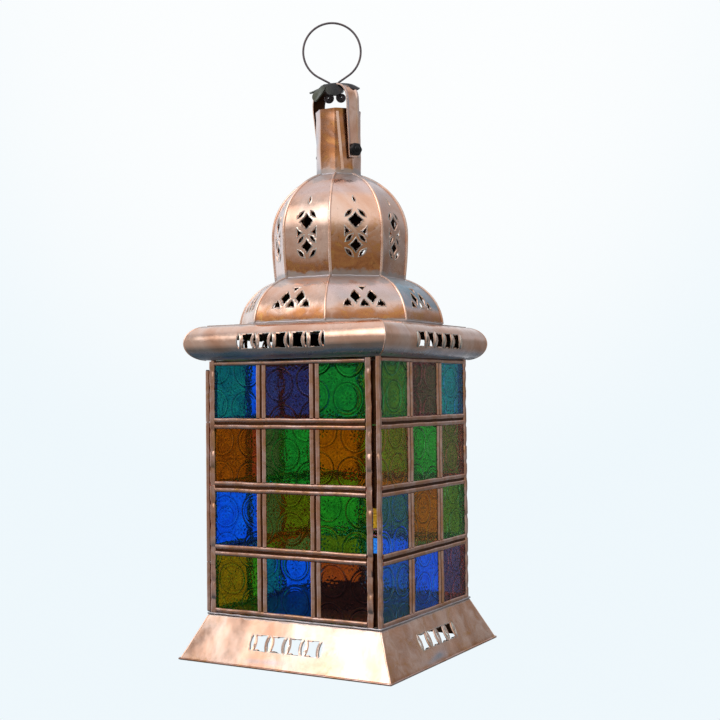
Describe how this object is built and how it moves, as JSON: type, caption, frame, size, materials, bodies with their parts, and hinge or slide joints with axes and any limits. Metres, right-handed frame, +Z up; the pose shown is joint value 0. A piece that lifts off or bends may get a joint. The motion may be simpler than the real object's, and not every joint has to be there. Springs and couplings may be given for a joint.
{
  "type": "candle lantern",
  "caption": "Square copper lantern with coloured glass panes, a hinged door, pierced eave, collar and dome, and a swinging strap handle with a wire hanging loop.",
  "frame": {"origin": "centre of the foot, on the floor", "axes": "+Z up, -Y out of the door, +X to the right of the door"},
  "size_m": [0.1838, 0.1838, 0.4965],
  "materials": {
    "copper_sheet": "aged copper, satin",
    "copper_strip": "aged copper, satin",
    "blackened_iron": "blackened, dull",
    "glass_blue": "pressed, clear",
    "glass_green": "pressed, clear",
    "glass_amber": "pressed, clear",
    "glass_red": "pressed, clear"
  },
  "bodies": {
    "lantern": {"back_cames": "copper_strip", "back_panes_amber": "glass_amber", "back_panes_blue": "glass_blue", "back_panes_green": "glass_green", "back_stiles": "copper_strip", "candle_cup": "copper_sheet", "collar_panel_1": "copper_sheet", "collar_panel_2": "copper_sheet", "collar_panel_3": "copper_sheet", "collar_panel_4": "copper_sheet", "collar_panel_5": "copper_sheet", "collar_panel_6": "copper_sheet", "collar_panel_7": "copper_sheet", "collar_panel_8": "copper_sheet", "deck_plate": "copper_sheet", "dome_gore_1": "copper_sheet", "dome_gore_2": "copper_sheet", "dome_gore_3": "copper_sheet", "dome_gore_4": "copper_sheet", "dome_gore_5": "copper_sheet", "dome_gore_6": "copper_sheet", "dome_gore_7": "copper_sheet", "dome_gore_8": "copper_sheet", "door_stop": "copper_sheet", "eave_back": "copper_sheet", "eave_front": "copper_sheet", "eave_left": "copper_sheet", "eave_right": "copper_sheet", "floor_plate": "copper_sheet", "handle_bolts": "blackened_iron", "handle_nuts": "blackened_iron", "hinge_body_leaves": "copper_sheet", "hinge_pin": "blackened_iron", "left_cames": "copper_strip", "left_panes_amber": "glass_amber", "left_panes_blue": "glass_blue", "left_panes_green": "glass_green", "left_panes_red": "glass_red", "left_stiles": "copper_strip", "neck_tube": "copper_sheet", "right_cames": "copper_strip", "right_panes_amber": "glass_amber", "right_panes_blue": "glass_blue", "right_panes_green": "glass_green", "right_panes_red": "glass_red", "right_stiles": "copper_strip", "skirt_back": "copper_sheet", "skirt_front": "copper_sheet", "skirt_left": "copper_sheet", "skirt_right": "copper_sheet"},
    "door": {"door_cames": "copper_strip", "door_panes_amber": "glass_amber", "door_panes_blue": "glass_blue", "door_panes_green": "glass_green", "door_panes_red": "glass_red", "door_stiles": "copper_strip", "hinge_door_leaf": "copper_sheet"},
    "handle": {"handle_strap": "copper_sheet", "rosette_washer": "blackened_iron"},
    "loop": {"hanging_loop": "blackened_iron"}
  },
  "joints": [
    {"name": "door_hinge", "type": "hinge", "parent": "lantern", "child": "door", "pos_m": [-0.07585, -0.0735, 0.13], "axis": [0, 0, -1], "range_deg": [0, 135]},
    {"name": "handle_swing", "type": "hinge", "parent": "lantern", "child": "handle", "pos_m": [0, 0, 0.39165], "axis": [0.9239, -0.3827, 0], "range_deg": [-94, 86]},
    {"name": "loop_rock", "type": "hinge", "parent": "handle", "child": "loop", "pos_m": [-0.00142, -0.00343, 0.44467], "axis": [0.8696, 0.4907, 0.055], "range_deg": [-25, 25]}
  ]
}
